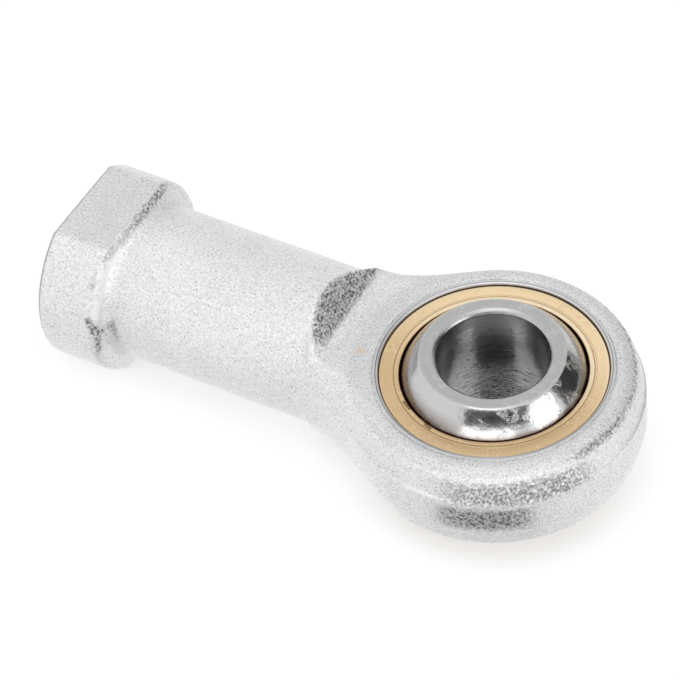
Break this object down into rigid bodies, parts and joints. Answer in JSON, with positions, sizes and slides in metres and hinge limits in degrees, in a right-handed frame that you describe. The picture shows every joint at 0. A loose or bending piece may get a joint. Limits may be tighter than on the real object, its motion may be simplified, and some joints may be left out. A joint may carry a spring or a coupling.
{
  "type": "female rod end bearing",
  "caption": "Female rod end bearing: a forged eye on an internally threaded shank, with a polished ball that swivels in a bronze race and takes a pin or bolt.",
  "frame": {"origin": "centre of the ball, where the axis of the pin bore meets the axis of the shank", "axes": "+Z along the pin bore, -X along the shank and out of its threaded end, +Y across the head"},
  "size_m": [0.0669, 0.0318, 0.0188],
  "materials": {
    "housing_steel": "zinc plated over a shot-blasted forging, satin and finely grained",
    "race_bronze": "turned bronze, satin, with a bright bevel at the ball",
    "ball_steel": "ground and polished bearing steel, with satin turned side faces and bore"
  },
  "bodies": {
    "eye": {"housing": "housing_steel", "race": "race_bronze"},
    "swivel_ball": {"ball": "ball_steel"}
  },
  "joints": [
    {"name": "ball_tilt", "type": "hinge", "parent": "eye", "child": "swivel_ball", "pos_m": [0, 0, 0], "axis": [1, 0, 0], "range_deg": [-13, 13]}
  ]
}
